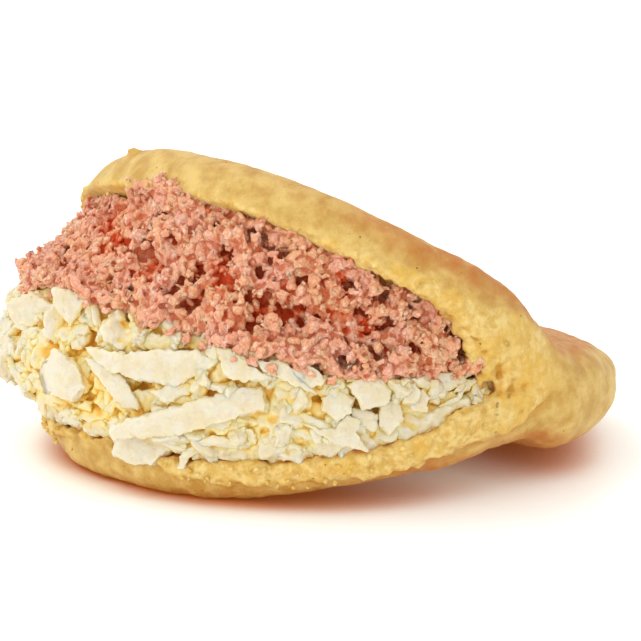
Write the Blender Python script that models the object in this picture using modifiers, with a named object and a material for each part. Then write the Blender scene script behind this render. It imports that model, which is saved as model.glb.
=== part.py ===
"""Stuffed arepa: a thick griddled corn cake, slit round half of its rim, opened like a clam and
filled with a bed of shredded white cheese under a heap of minced ham.

Frame: metres, +Z up, Z = 0 on the table, +X from the open mouth towards the uncut end, and the
origin under the middle of the whole.

The cake is made as a cook makes it: shape a disc, slit it with a knife, open the two flaps. The
flat disc and the slit are modelled first. The functions under "Opening the cake" then carry every
point of the flat disc to its place in the opened cake. The fillings go through the same functions,
so they lie between the flaps.
"""

import math

import bmesh
import bpy
from mathutils import Matrix, Vector, noise

MM = 0.001

# Flat cake. The knife goes in at -X and stops at SLIT_END.
CAKE_RADIUS = 57 * MM
MIDDLE_HALF_THICKNESS = 9 * MM
RIM_HALF_THICKNESS = 8.2 * MM
RIM_ROUNDING = 7 * MM
SLIT_WIDTH = 0.8 * MM
SLIT_END = 2 * MM

# Opened cake. The flaps fold at HINGE_X. Slopes are (distance from the hinge towards -X, degrees).
HINGE_X = 15.5 * MM
HINGE_HEIGHT = 16.4 * MM
FLAP_LENGTH = CAKE_RADIUS + HINGE_X
END_SLOPE = 12.6
UPPER_SLOPES = ((0, END_SLOPE), (12 * MM, 44), (30 * MM, 29), (50 * MM, 37), (FLAP_LENGTH, 31))
LOWER_SLOPES = ((0, END_SLOPE), (16 * MM, -2), (34 * MM, -16), (52 * MM, -10), (FLAP_LENGTH, 0))
WALK_STEP = 1 * MM
TORN_LENGTH = 22 * MM
UPPER_ROLL = math.radians(4.5)
SETTLING = 0.9 * MM

# Opening it makes the flaps thicker, by these shares, past PUFF_LENGTH from the hinge.
UPPER_PUFF = 0.3
LOWER_PUFF = 0.11
PUFF_LENGTH = 25 * MM

# Patted into shape by hand: how far the rim and the skins wander, and over what length.
HAND_WIDTH = 24 * MM
RIM_WANDER = 1.2 * MM
SKIN_WANDER = 0.7 * MM

# Fillings. Shares are of the pocket's height: 0 on the lower flap and 1 under the upper one.
GAP = 0.6 * MM
CHEESE_END = -2 * MM
HAM_END = -5 * MM
CHEESE_SHARE = 0.44
CHEESE_RISE = 0.12
NEAR_BULGE = 3 * MM
FAR_BULGE = 13 * MM
CORNER_RECESS = 2 * MM
BULGE_REACH = 42 * MM
BULGE_START = 0.65
BULGE_HEIGHT_POWER = 0.62
LUMP_SIZE = 8 * MM
LUMP_HEIGHT = 2.6 * MM
INTERFACE_LUMP_SHARE = 0.05

# Mesh fineness
TURN_STEPS = 84
CAKE_RINGS = 8
ROUNDING_STEPS = 4
SLIT_CELL = 5 * MM
FILLING_RINGS = 6
FILLING_LAYERS = 6


def smooth_step(value, start, end):
    """0 up to start, 1 from end on, and smooth between."""
    share = min(max((value - start) / (end - start), 0), 1)
    return share * share * (3 - 2 * share)


# --- Opening the cake -----------------------------------------------------------------------------


def slope_at(slopes, distance):
    """A flap's slope in radians at a distance from the hinge."""
    for (start, first), (end, last) in zip(slopes, slopes[1:]):
        if distance <= end:
            share = (distance - start) / (end - start)
            return math.radians(first + (last - first) * share)
    return math.radians(slopes[-1][1])


def walk(slopes, distance):
    """(place, slope) reached by going that far from the hinge along a flap's middle line."""
    place = Vector((HINGE_X, 0, HINGE_HEIGHT))
    done = min(distance, 0)
    uncut_slope = math.radians(END_SLOPE)
    place += done * Vector((-math.cos(uncut_slope), 0, math.sin(uncut_slope)))
    while done < distance - 1e-9:
        step = min(WALK_STEP, distance - done)
        slope = slope_at(slopes, done + step / 2)
        place += step * Vector((-math.cos(slope), 0, math.sin(slope)))
        done += step
    return place, slope_at(slopes, max(distance, 0))


def opened(point, upper):
    """The place in the opened cake of a point of the flat one, whose slit lies at Z = 0."""
    distance = HINGE_X - point.x
    place, slope = walk(UPPER_SLOPES if upper else LOWER_SLOPES, distance)
    other, _ = walk(LOWER_SLOPES if upper else UPPER_SLOPES, distance)
    # Past the end of the slit the dough is whole, and just before it a torn web still joins the flaps.
    joined = smooth_step(point.x, SLIT_END - TORN_LENGTH, SLIT_END)
    inward = 1 - min(abs(point.z) / RIM_HALF_THICKNESS, 1)
    place = place.lerp((place + other) / 2, joined * inward)
    puff = (UPPER_PUFF if upper else LOWER_PUFF) * smooth_step(distance, 0, PUFF_LENGTH)
    place += point.z * (1 + puff) * Vector((math.sin(slope), 0, math.cos(slope)))
    roll = math.tan(UPPER_ROLL) * max(distance, 0) / FLAP_LENGTH if upper else 0
    height = place.z - point.y * roll - SETTLING
    return Vector((place.x, point.y, max(height, 0)))


# --- Corn cake ------------------------------------------------------------------------------------


def cake_outline():
    """Half outline of the flat cake at +X, from its top centre round the rim to its bottom centre."""
    flat = CAKE_RADIUS - RIM_ROUNDING
    top = []
    for ring in range(CAKE_RINGS):
        share = ring / CAKE_RINGS
        sink = (MIDDLE_HALF_THICKNESS - RIM_HALF_THICKNESS) * share**2
        top.append((flat * share, MIDDLE_HALF_THICKNESS - sink))
    for step in range(ROUNDING_STEPS + 1):
        turn = math.pi / 2 * step / ROUNDING_STEPS
        radius = flat + RIM_ROUNDING * math.sin(turn)
        top.append((radius, RIM_HALF_THICKNESS - RIM_ROUNDING * (1 - math.cos(turn))))
    return top + [(radius, -height) for radius, height in reversed(top)]


def evaluated_mesh(thing):
    """A new mesh with the object's modifiers applied."""
    graph = bpy.context.evaluated_depsgraph_get()
    return bpy.data.meshes.new_from_object(thing.evaluated_get(graph))


def turned(name, outline, collection):
    """A mesh object turned about Z from a half outline at +X that runs from top to bottom."""
    points = [(radius, 0, height) for radius, height in outline]
    mesh = bpy.data.meshes.new(name)
    mesh.from_pydata(points, [(i, i + 1) for i in range(len(points) - 1)], [])
    thing = bpy.data.objects.new(name, mesh)
    collection.objects.link(thing)
    screw = thing.modifiers.new("Turn", "SCREW")
    screw.steps = screw.render_steps = TURN_STEPS
    screw.use_merge_vertices = True
    screw.merge_threshold = 0.01 * MM
    thing.data = evaluated_mesh(thing)
    thing.modifiers.clear()
    return thing


def knife_slit(collection):
    """The thin slab that the knife takes out, gridded so that its walls bend with the flaps."""
    length = CAKE_RADIUS + SLIT_END + SLIT_CELL
    width = 2 * (CAKE_RADIUS + SLIT_CELL)
    bm = bmesh.new()
    bmesh.ops.create_grid(
        bm,
        x_segments=math.ceil(length / SLIT_CELL),
        y_segments=math.ceil(width / SLIT_CELL),
        size=0.5,
    )
    bmesh.ops.scale(bm, vec=(length, width, 1), verts=bm.verts)
    bmesh.ops.translate(bm, vec=(SLIT_END - length / 2, 0, 0), verts=bm.verts)
    mesh = bpy.data.meshes.new("knife_slit")
    bm.to_mesh(mesh)
    bm.free()
    slit = bpy.data.objects.new("knife_slit", mesh)
    slit.hide_render = True
    slit.display_type = "WIRE"
    collection.objects.link(slit)
    slab = slit.modifiers.new("Slab", "SOLIDIFY")
    slab.thickness = SLIT_WIDTH
    slab.offset = 0
    return slit


def hand_shaped(point):
    """The same point of the flat cake once its rim and its two skins wander. The slit stays flat."""
    outward = Vector((point.x, point.y, 0)) / CAKE_RADIUS
    rim = RIM_WANDER * noise.noise(outward.normalized() * CAKE_RADIUS / HAND_WIDTH)
    skin = SKIN_WANDER * noise.noise(point / HAND_WIDTH) * point.z / RIM_HALF_THICKNESS
    return point + rim * outward.length * outward + Vector((0, 0, skin))


def corn_cake(parts, cutters):
    cake = turned("corn_cake", cake_outline(), parts)
    cut = cake.modifiers.new("Slit", "BOOLEAN")
    cut.operation = "DIFFERENCE"
    cut.object = knife_slit(cutters)
    cake.data = evaluated_mesh(cake)
    cake.modifiers.clear()
    for vert in cake.data.vertices:
        vert.co = opened(hand_shaped(vert.co), upper=vert.co.z > 0)
    return cake


# --- Fillings -------------------------------------------------------------------------------------


def cheese_top(x, y):
    """Share of the pocket's height that the cheese bed fills. It rises to the far side of the mouth."""
    rise = CHEESE_RISE * smooth_step(y - x, 0, 1.4 * CAKE_RADIUS)
    lump = INTERFACE_LUMP_SHARE * noise.noise(Vector((x, y, 0)) / LUMP_SIZE)
    return CHEESE_SHARE + rise + lump


def between_flaps(x, y, share):
    """The place over the spot x, y of the flat cake at a share of the pocket's height."""
    floor = opened(Vector((x, y, -SLIT_WIDTH / 2)), upper=False)
    roof = opened(Vector((x, y, SLIT_WIDTH / 2)), upper=True)
    return floor.lerp(roof, share)


def bulging(x, y, share):
    """The same place once the filling swells out of the mouth and is drawn in near the hinge."""
    radius = max(math.hypot(x, y), MM)
    fullness = math.sin(math.pi * share**BULGE_HEIGHT_POWER)
    bulge = NEAR_BULGE + (FAR_BULGE - NEAR_BULGE) * smooth_step(y, -CAKE_RADIUS, CAKE_RADIUS / 2)
    swell = bulge * smooth_step(-x, -CHEESE_END, BULGE_REACH) * fullness - CORNER_RECESS
    lump = LUMP_HEIGHT * noise.noise(between_flaps(x, y, share) / LUMP_SIZE) * fullness
    edge = smooth_step(radius / CAKE_RADIUS, BULGE_START, 1)
    stretch = 1 + (swell + lump) * edge / radius
    return between_flaps(min(x * stretch, CHEESE_END), y * stretch, share)


def filling_outline():
    """Half outline at +X of a flat puck one unit high, as wide as the cake."""
    top = [(CAKE_RADIUS * ring / FILLING_RINGS, 1) for ring in range(FILLING_RINGS)]
    side = [(CAKE_RADIUS, 1 - layer / FILLING_LAYERS) for layer in range(FILLING_LAYERS + 1)]
    return top + side + [(radius, 0) for radius, _ in reversed(top)]


def filling(name, parts, end, lowest, highest):
    """A puck cut off at end, short of the hinge, and spread between two shares of the pocket's height."""
    layer = turned(name, filling_outline(), parts)
    bm = bmesh.new()
    bm.from_mesh(layer.data)
    cut = bmesh.ops.bisect_plane(
        bm,
        geom=[*bm.verts, *bm.edges, *bm.faces],
        plane_co=(end, 0, 0),
        plane_no=(1, 0, 0),
        clear_outer=True,
    )
    edges = [part for part in cut["geom_cut"] if isinstance(part, bmesh.types.BMEdge)]
    bmesh.ops.holes_fill(bm, edges=edges)
    for vert in bm.verts:
        x, y, up = vert.co
        low, high = lowest(x, y), highest(x, y)
        gap = Vector((0, 0, GAP * (1 - 2 * up)))
        vert.co = bulging(x, y, low + (high - low) * up) + gap
    bm.to_mesh(layer.data)
    bm.free()
    return layer


# --- Putting it together --------------------------------------------------------------------------


def painted(thing, colour, roughness):
    """Gives the object a material of its own, and smooth shading with sharp creases."""
    material = bpy.data.materials.new(thing.name)
    material.use_nodes = True
    shader = material.node_tree.nodes["Principled BSDF"]
    shader.inputs["Base Color"].default_value = (*colour, 1)
    shader.inputs["Roughness"].default_value = roughness
    shader.inputs["Metallic"].default_value = 0
    thing.data.materials.clear()
    thing.data.materials.append(material)
    thing.data.shade_smooth()
    thing.data.set_sharp_from_angle(angle=math.radians(50))


def centre_over_origin(things):
    """Moves the meshes together until the origin lies under the middle of their joint box."""
    spots = [vert.co for thing in things for vert in thing.data.vertices]
    along, across = [spot.x for spot in spots], [spot.y for spot in spots]
    middle = Vector((min(along) + max(along), min(across) + max(across), 0)) / 2
    for thing in things:
        thing.data.transform(Matrix.Translation(-middle))


def collection_named(name):
    made = bpy.data.collections.new(name)
    bpy.context.scene.collection.children.link(made)
    return made


def main():
    for thing in list(bpy.data.objects):
        bpy.data.objects.remove(thing)
    parts, cutters = collection_named("stuffed_arepa"), collection_named("cutters")
    cake = corn_cake(parts, cutters)
    cheese = filling("cheese_filling", parts, CHEESE_END, lambda x, y: 0, cheese_top)
    ham = filling("ham_filling", parts, HAM_END, cheese_top, lambda x, y: 1)
    centre_over_origin((cake, cheese, ham))
    painted(cake, (0.80, 0.56, 0.20), 0.6)
    painted(cheese, (0.93, 0.87, 0.66), 0.5)
    painted(ham, (0.62, 0.31, 0.22), 0.55)


main()
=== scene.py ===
# %% [markdown]
# # A stuffed corn cake
# This is a thick maize cake, griddled, slit round half of its rim and opened like a clam. A bed of
# shredded white cheese lies in it, under a heap of minced ham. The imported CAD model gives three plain
# solids. This lesson turns them into food: one finished cake, and fillings made of real shreds and grains.
#
# The first step loads the CAD model. It is the fixed frame: each new piece is built where the CAD says.

# %% Load the frame
import math
import random

import bmesh
import bpy
import numpy as np
from mathutils import Matrix, Vector, noise
from mathutils.bvhtree import BVHTree


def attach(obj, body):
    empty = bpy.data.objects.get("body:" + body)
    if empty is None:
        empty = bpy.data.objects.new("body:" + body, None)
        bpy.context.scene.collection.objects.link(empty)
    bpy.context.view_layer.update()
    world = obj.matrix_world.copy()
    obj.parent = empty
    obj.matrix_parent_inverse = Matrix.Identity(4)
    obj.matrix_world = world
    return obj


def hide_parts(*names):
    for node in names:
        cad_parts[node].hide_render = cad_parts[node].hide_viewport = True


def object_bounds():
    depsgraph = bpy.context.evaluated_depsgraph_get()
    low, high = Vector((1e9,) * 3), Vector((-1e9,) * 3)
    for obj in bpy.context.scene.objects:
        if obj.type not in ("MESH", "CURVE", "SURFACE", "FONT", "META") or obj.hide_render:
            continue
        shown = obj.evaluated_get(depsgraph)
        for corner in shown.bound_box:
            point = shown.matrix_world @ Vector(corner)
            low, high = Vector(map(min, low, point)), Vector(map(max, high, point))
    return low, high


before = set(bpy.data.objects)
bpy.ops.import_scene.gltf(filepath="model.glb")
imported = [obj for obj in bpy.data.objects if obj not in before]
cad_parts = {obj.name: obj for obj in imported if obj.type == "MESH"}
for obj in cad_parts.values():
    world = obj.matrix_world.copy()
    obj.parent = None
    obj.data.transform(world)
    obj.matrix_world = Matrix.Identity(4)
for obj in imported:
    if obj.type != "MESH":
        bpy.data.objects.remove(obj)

MM = 0.001
FULL_TURN = 6.283
scene = bpy.context.scene
cad_low, cad_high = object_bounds()

# %% [markdown]
# ## Camera
# A close product view: a long lens, a little above the table, turned to the mouth's near side. The
# camera's place is worked out from two angles and a distance round the cake's own upright axis.

# %% Camera
CAKE_AXIS = Vector((2.5 * MM, -0.2 * MM, 0))
CAKE_RADIUS = 57 * MM
VIEW_TURN, VIEW_RISE = math.radians(37.5), math.radians(12)
VIEW_DISTANCE = 600 * MM
AIM_HEIGHT, AIM_LEFT, AIM_DOWN = 30 * MM, 1.46 * MM, 5.82 * MM
LENS = 170.9  # in millimetres, as lenses are named

back = Vector((-math.sin(VIEW_TURN) * math.cos(VIEW_RISE),
               -math.cos(VIEW_TURN) * math.cos(VIEW_RISE), math.sin(VIEW_RISE)))
right = Vector((math.cos(VIEW_TURN), -math.sin(VIEW_TURN), 0))
up = back.cross(right)
aim = CAKE_AXIS + Vector((0, 0, AIM_HEIGHT)) - right * AIM_LEFT - up * AIM_DOWN

camera = bpy.data.objects.new("camera", bpy.data.cameras.new("camera"))
turned = Matrix((right, up, back)).transposed().to_4x4()
camera.matrix_world = Matrix.Translation(aim + back * VIEW_DISTANCE) @ turned
camera.data.lens = LENS
camera.data.clip_end = 10
scene.collection.objects.link(camera)
scene.camera = camera
print("camera at", [round(value / MM) for value in camera.matrix_world.translation])

# %% [markdown]
# ## Table and light
# The food lies on a plain white table under soft light. A white sky fills every shadow. One big soft
# lamp above the back left draws the shadow towards the front right. A low one in front lights the
# fillings, and a faint one at the right lights the uncut end. The Standard view transform keeps the
# white white and the food's colours clear.

# %% Table and light
WHITE = (1.0, 1.0, 1.0, 1)
SKY_STRENGTH = 0.98
scene.view_settings.view_transform = "Standard"
world = bpy.data.worlds.new("sky")
scene.world = world
world.use_nodes = True
world.node_tree.nodes["Background"].inputs["Color"].default_value = WHITE
world.node_tree.nodes["Background"].inputs["Strength"].default_value = SKY_STRENGTH


def lamp(name, place, width, power):
    """A square soft lamp that looks at the middle of the cake: width in metres, power in watts."""
    light = bpy.data.lights.new(name, "AREA")
    light.size, light.energy = width, power
    thing = bpy.data.objects.new(name, light)
    thing.location = place
    thing.rotation_euler = (Vector((0, 0, 0.03)) - place).to_track_quat("-Z", "Y").to_euler()
    scene.collection.objects.link(thing)


ahead = Vector((-back.x, -back.y, 0)).normalized()
lamp("key lamp", -right * 0.35 + ahead * 0.25 + Vector((0, 0, 0.85)), 0.5, 2.0)
lamp("front lamp", -right * 0.5 - ahead * 0.75 + Vector((0, 0, 0.26)), 0.8, 2.5)
lamp("side lamp", right * 0.75 - ahead * 0.35 + Vector((0, 0, 0.14)), 0.4, 0.15)

TABLE_HALF_WIDTH = 4
floor_shape = bmesh.new()
bmesh.ops.create_grid(floor_shape, x_segments=2, y_segments=2, size=TABLE_HALF_WIDTH)
floor_mesh = bpy.data.meshes.new("table")
floor_shape.to_mesh(floor_mesh)
floor_shape.free()
floor = bpy.data.objects.new("table", floor_mesh)
scene.collection.objects.link(floor)


# %% [markdown]
# ## Helpers for materials
# Each finish is a small node graph. One helper adds a node and fills or links its inputs, so that the
# graphs below read like recipes. All patterns read Object coordinates, which are metres on the food.

# %% Helpers for materials
def finish(name):
    """A new material: (material, its node tree, its shader node)."""
    material = bpy.data.materials.new(name)
    material.use_nodes = True
    return material, material.node_tree, material.node_tree.nodes["Principled BSDF"]


def plug(tree, socket, value):
    """Fills a socket: with a link if the value is a node's output, or else with the value itself."""
    if isinstance(value, bpy.types.NodeSocket):
        tree.links.new(value, socket)
    else:
        socket.default_value = value


def fill(tree, node, inputs):
    for name, value in inputs.items():
        plug(tree, node.inputs[name], value)


def add(tree, kind, inputs=None, **settings):
    """Adds a node. An input is either a value or the output socket of another node."""
    node = tree.nodes.new("ShaderNode" + kind)
    for name, value in settings.items():
        setattr(node, name, value)
    fill(tree, node, inputs or {})
    return node


def linear(red, green, blue):
    """A colour as a cook's eye reads it, 0 to 255, in the linear units that shaders use."""
    return tuple(((c / 255 + 0.055) / 1.055) ** 2.4 if c > 10 else c / 255 / 12.92
                 for c in (red, green, blue)) + (1,)


def place_on(tree):
    return add(tree, "TexCoord").outputs["Object"]


def measured(tree, name):
    """A number that was stored on each point of the mesh."""
    return add(tree, "Attribute", attribute_name=name).outputs["Fac"]


def noise_on(tree, place, size, detail=2.0, rough=0.5):
    """Soft noise with features about this size, from 0 to 1."""
    return add(tree, "TexNoise", {"Vector": place, "Scale": 1 / size, "Detail": detail,
                                  "Roughness": rough}).outputs["Fac"]


def between(tree, value, low, high, out_low=0.0, out_high=1.0):
    """Maps low..high to out_low..out_high with soft ends."""
    return add(tree, "MapRange", {"Value": value, "From Min": low, "From Max": high, "To Min": out_low,
                                  "To Max": out_high}, interpolation_type="SMOOTHSTEP").outputs["Result"]


def mixed(tree, share, first, second):
    """The first colour, with this share of the second."""
    node = add(tree, "Mix", data_type="RGBA")
    for key, value in (("Factor_Float", share), ("A_Color", first), ("B_Color", second)):
        plug(tree, next(socket for socket in node.inputs if socket.identifier == key), value)
    return next(socket for socket in node.outputs if socket.identifier == "Result_Color")


def tinted(tree, colour, value, low, high, most, tint):
    """The colour, with a share of the tint that grows to `most` while the value goes from low to high."""
    return mixed(tree, between(tree, value, low, high, 0.0, most), colour, tint)


def product(tree, first, second):
    return add(tree, "Math", {0: first, 1: second}, operation="MULTIPLY").outputs["Value"]


def bumped(tree, height, depth, under=None):
    """A bump node of this real depth in metres, over another bump if one is given."""
    inputs = {"Height": height, "Strength": 1.0, "Distance": depth}
    if under is not None:
        inputs["Normal"] = under
    return add(tree, "Bump", inputs).outputs["Normal"]


# %% [markdown]
# ## Finish of the table
# A white table that is lit from all sides is almost as bright as the sky. Close to golden food its
# shadow is not grey but orange, because the light there has been through dough or has bounced off it.
# Tracing that light would be slow, so an Ambient Occlusion node tells how closely the food stands over
# a spot of the table. By that the spot gets a painted orange shadow in its colour and a painted orange
# glow in its emission; away from the food the table glows faintly and evenly.

# %% Table finish
TINT_REACH = 10 * MM
TABLE_WHITE, TABLE_TINT = (0.96, 0.965, 0.97, 1), linear(212, 120, 28)
GLOW_WHITE, GLOW_TINT = (1.0, 0.92, 0.78, 1), (0.42, 0.12, 0.0, 1)

table_finish, tree, shader = finish("white table")
openness = add(tree, "AmbientOcclusion", {"Distance": TINT_REACH}, samples=8).outputs["AO"]
# Painted light: an orange painted shadow in the base colour and an orange painted glow in the emission,
# where the food stands close over the table.
fill(tree, shader, {
    "Base Color": mixed(tree, between(tree, openness, 0.1, 0.75), TABLE_TINT, TABLE_WHITE),
    "Emission Color": mixed(tree, between(tree, openness, 0.05, 0.65), GLOW_TINT, GLOW_WHITE),
    "Emission Strength": 0.18, "Roughness": 0.4, "Specular IOR Level": 0.3})
floor.data.materials.append(table_finish)

# %% [markdown]
# ## Copies of the CAD solids
# The CAD solids stay as they are. Merged copies serve two ends: search trees, which answer where the
# dough and the fillings are, and starting shapes for the new pieces.

# %% Copies of the CAD solids
def merged_copy(node):
    """The CAD solid as a bmesh with its loose triangles joined."""
    shape = bmesh.new()
    shape.from_mesh(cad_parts[node].data)
    bmesh.ops.remove_doubles(shape, verts=shape.verts[:], dist=0.01 * MM)
    return shape


trees = {}
for node in ("corn_cake", "cheese_filling", "ham_filling"):
    shape = merged_copy(node)
    trees[node] = BVHTree.FromBMesh(shape)
    print(node, len(shape.verts), "points,", round(shape.calc_volume() * 1e6, 1), "cm3")
    shape.free()


# %% [markdown]
# ## The mouth, measured
# Seen from outside, the mouth is three bands: dough below, cheese, ham, dough above. A level line from
# outside towards the cake's axis meets one of them first. Doing that for many angles and heights gives
# the three seams between the bands, and later steps place their shreds and tears by those seams.

# %% The mouth, measured
def first_met(angle, height):
    """(node, point, normal) met first by a level line from outside, at an angle in degrees."""
    away = Vector((math.cos(math.radians(angle)), math.sin(math.radians(angle)), 0))
    start = CAKE_AXIS + away * 2 * CAKE_RADIUS + Vector((0, 0, height))
    found = [(distance, node, point, normal) for node, tree in trees.items()
             for point, normal, _, distance in [tree.ray_cast(start, -away)] if point]
    return min(found)[1:] if found else (None, None, None)


SEAM_ANGLES = list(range(98, 265, 3))
seams = {"cheese": [], "ham": [], "top": []}
for angle in SEAM_ANGLES:
    heights = {"cheese_filling": [], "ham_filling": []}
    for step in range(8, 122):  # half millimetres
        name = first_met(angle, step * 0.5 * MM)[0]
        if name in heights:
            heights[name].append(step * 0.5 * MM)
    seams["cheese"].append(min(heights["cheese_filling"]))
    seams["ham"].append(max(heights["cheese_filling"]))
    seams["top"].append(max(heights["ham_filling"]))


def seam(name, angle):
    """Height of a seam at an angle, or at many."""
    return np.interp(angle, SEAM_ANGLES, seams[name])


print("seams in front, mm:", {name: round(float(seam(name, 233)) / MM, 1) for name in seams})


# %% [markdown]
# ## Helpers for shapes
# Crumbly food needs three tools. A voxel remesh fuses overlapping lumps into one skin. Reading and
# writing all points at once, as arrays, makes it fast to push them in and out by noise. And a count of
# how far a point lies under its surroundings tells the finishes where the hollows are.

# %% Helpers for shapes
def new_object(name, shape):
    """An object with the bmesh as its smooth-shaded mesh, at the origin."""
    mesh = bpy.data.meshes.new(name)
    shape.to_mesh(mesh)
    shape.free()
    mesh.shade_smooth()
    thing = bpy.data.objects.new(name, mesh)
    scene.collection.objects.link(thing)
    return thing


def apply_modifiers(thing):
    graph = bpy.context.evaluated_depsgraph_get()
    mesh = bpy.data.meshes.new_from_object(thing.evaluated_get(graph), depsgraph=graph)
    old = thing.data
    thing.modifiers.clear()
    thing.data = mesh
    bpy.data.meshes.remove(old)
    mesh.name = thing.name
    mesh.shade_smooth()


def fuse(thing, voxel):
    remesh = thing.modifiers.new("fuse", "REMESH")
    remesh.mode, remesh.voxel_size = "VOXEL", voxel
    apply_modifiers(thing)


def triangles(mesh):
    """How many triangles the mesh's faces make."""
    return sum(len(face.vertices) - 2 for face in mesh.polygons)


def points_of(mesh):
    flat = np.empty(len(mesh.vertices) * 3, np.float32)
    mesh.vertices.foreach_get("co", flat)
    return flat.reshape(-1, 3).astype(float)


def normals_of(mesh):
    flat = np.empty(len(mesh.vertices) * 3, np.float32)
    mesh.vertex_normals.foreach_get("vector", flat)
    return flat.reshape(-1, 3).astype(float)


def move_to(mesh, points):
    mesh.vertices.foreach_set("co", points.astype(np.float32).ravel())
    mesh.update()


def eased(mesh, values, times):
    """Values on points (n by k), each replaced by the mean of its neighbours, several times."""
    ends = np.empty(len(mesh.edges) * 2, np.int64)
    mesh.edges.foreach_get("vertices", ends)
    a, b = np.concatenate([ends[0::2], ends[1::2]]), np.concatenate([ends[1::2], ends[0::2]])
    count = np.maximum(np.bincount(a, minlength=len(values)), 1)
    for _ in range(times):
        values = np.stack([np.bincount(a, weights=column[b], minlength=len(values)) / count
                           for column in values.T], axis=1)
    return values


def hollows(mesh, points, times):
    """How far each point lies under its surroundings, in millimetres; a bulge is negative."""
    return ((eased(mesh, points, times) - points) * normals_of(mesh)).sum(1) / MM


def store(mesh, name, values):
    mesh.attributes.new(name, "FLOAT", "POINT").data.foreach_set("value", np.asarray(values, np.float32))


def rough(points, size, octaves=3, shift=0.0):
    """Fractal noise at many points, about -1 to 1, with features of this size."""
    return np.array([noise.fractal(Vector(p) / size + Vector((shift, shift, shift)), 1.0, 2.0, octaves)
                     for p in points])


def soft_step(value, low, high):
    share = np.clip((value - low) / (high - low), 0, 1)
    return share * share * (3 - 2 * share)


def angles_of(points):
    """Angle round the cake's axis, 0 to 360 degrees; the mouth runs from 90 to 270."""
    return np.degrees(np.arctan2(points[:, 1] - CAKE_AXIS.y, points[:, 0] - CAKE_AXIS.x)) % 360


def radii_of(points):
    return np.hypot(points[:, 0] - CAKE_AXIS.x, points[:, 1] - CAKE_AXIS.y)


def wall_moved_in(node, depth):
    """A copy of a filling whose open wall is moved in towards the cake's axis, for a core."""
    shape = merged_copy(node)
    bmesh.ops.subdivide_edges(shape, edges=shape.edges[:], cuts=1, use_grid_fill=True)
    for vert in shape.verts:
        away = Vector((vert.co.x - CAKE_AXIS.x, vert.co.y - CAKE_AXIS.y, 0))
        vert.co -= away.normalized() * depth * float(soft_step(away.length, 36 * MM, 46 * MM))
    return shape


def thin_out(thing, rest, most):
    """Fewer triangles, mostly at the points marked in `rest` (0 to 1), until at most this many are left."""
    group = thing.vertex_groups.new(name="rest")
    for level in (0.02, 0.3, 0.6, 1.0):
        chosen = np.nonzero(np.abs(np.clip(np.round(rest / 0.33) * 0.33, 0.02, 1) - level) < 0.17)[0]
        group.add([int(i) for i in chosen], level, "REPLACE")
    faces = triangles(thing.data)
    thin = thing.modifiers.new("thin out", "DECIMATE")
    thin.ratio, thin.vertex_group, thin.vertex_group_factor = min(1, most / faces), "rest", 10
    apply_modifiers(thing)
    thing.vertex_groups.clear()
    print(thing.name, faces, "->", triangles(thing.data), "triangles")


def kept_in_box(points):
    """The points, held inside the CAD model's box."""
    return np.clip(points, np.array(cad_low), np.array(cad_high))


# %% [markdown]
# ## Lumps
# Torn dough, minced ham and crumbled cheese all break into uneven lumps. One lump starts as an
# icosphere. A few sides are pressed flat, as if broken off, and noise makes the rest uneven. Making a
# handful of kinds and repeating them, turned and scaled, is fast and never looks repeated.

# %% Lumps
def lump(seed, detail=2, flats=4, unevenness=0.18, squash=(1, 0.8, 0.65)):
    """A mesh of one uneven lump about 2 units across."""
    draw = random.Random(seed)
    shape = bmesh.new()
    bmesh.ops.create_icosphere(shape, subdivisions=detail, radius=1)
    planes = [(Vector([draw.gauss(0, 1) for _ in range(3)]).normalized(), draw.uniform(0.45, 0.8))
              for _ in range(flats)]
    for vert in shape.verts:
        for normal, reach in planes:
            over = vert.co.dot(normal) - reach
            if over > 0:
                vert.co -= normal * over
        place = vert.co * 1.7 + Vector((seed * 7.3, 0, 0))
        vert.co += vert.co.normalized() * unevenness * (noise.noise(place) + 0.5 * noise.noise(place * 2.6))
    bmesh.ops.scale(shape, verts=shape.verts[:], vec=squash)
    mesh = bpy.data.meshes.new("lump")
    shape.to_mesh(mesh)
    shape.free()
    return mesh


def drop_in(shape, mesh, matrix):
    """Adds a copy of a mesh to a bmesh, moved by the matrix."""
    copy = mesh.copy()
    copy.transform(matrix)
    shape.from_mesh(copy)
    bpy.data.meshes.remove(copy)


def any_turn(draw):
    return Matrix.Rotation(draw.uniform(0, FULL_TURN), 3, "Z") @ Matrix.Rotation(
        math.acos(draw.uniform(-1, 1)), 3, "X") @ Matrix.Rotation(draw.uniform(0, FULL_TURN), 3, "Z")


def tossed(draw, place, scale):
    """A place, turned any way, with a scale along three axes."""
    return Matrix.LocRotScale(place, any_turn(draw).to_quaternion(), scale)


def standing(point, outward, turn=0.0, size=(1, 1, 1), tip=0.0):
    """A place on the wall: x level along it, y up it, z out of it, then turned and tipped."""
    out = outward.normalized()
    level = Vector((0, 0, 1)).cross(out)
    level = level.normalized() if level.length > 0.01 else Vector((1, 0, 0))
    axes = Matrix((level, out.cross(level), out)).transposed()
    turned = axes @ Matrix.Rotation(turn, 3, "Z") @ Matrix.Rotation(tip, 3, "X")
    return Matrix.LocRotScale(point, turned.to_quaternion(), Vector(size))


# %% [markdown]
# ## Open spots on a filling
# Shreds and grains show only where nothing covers the filling. Random spots are drawn all over the CAD
# solid. A spot stays if a short line from it, straight out, meets neither dough nor the other filling,
# and if no earlier spot is too near. That gives an even, natural scatter over the whole mouth.

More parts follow.
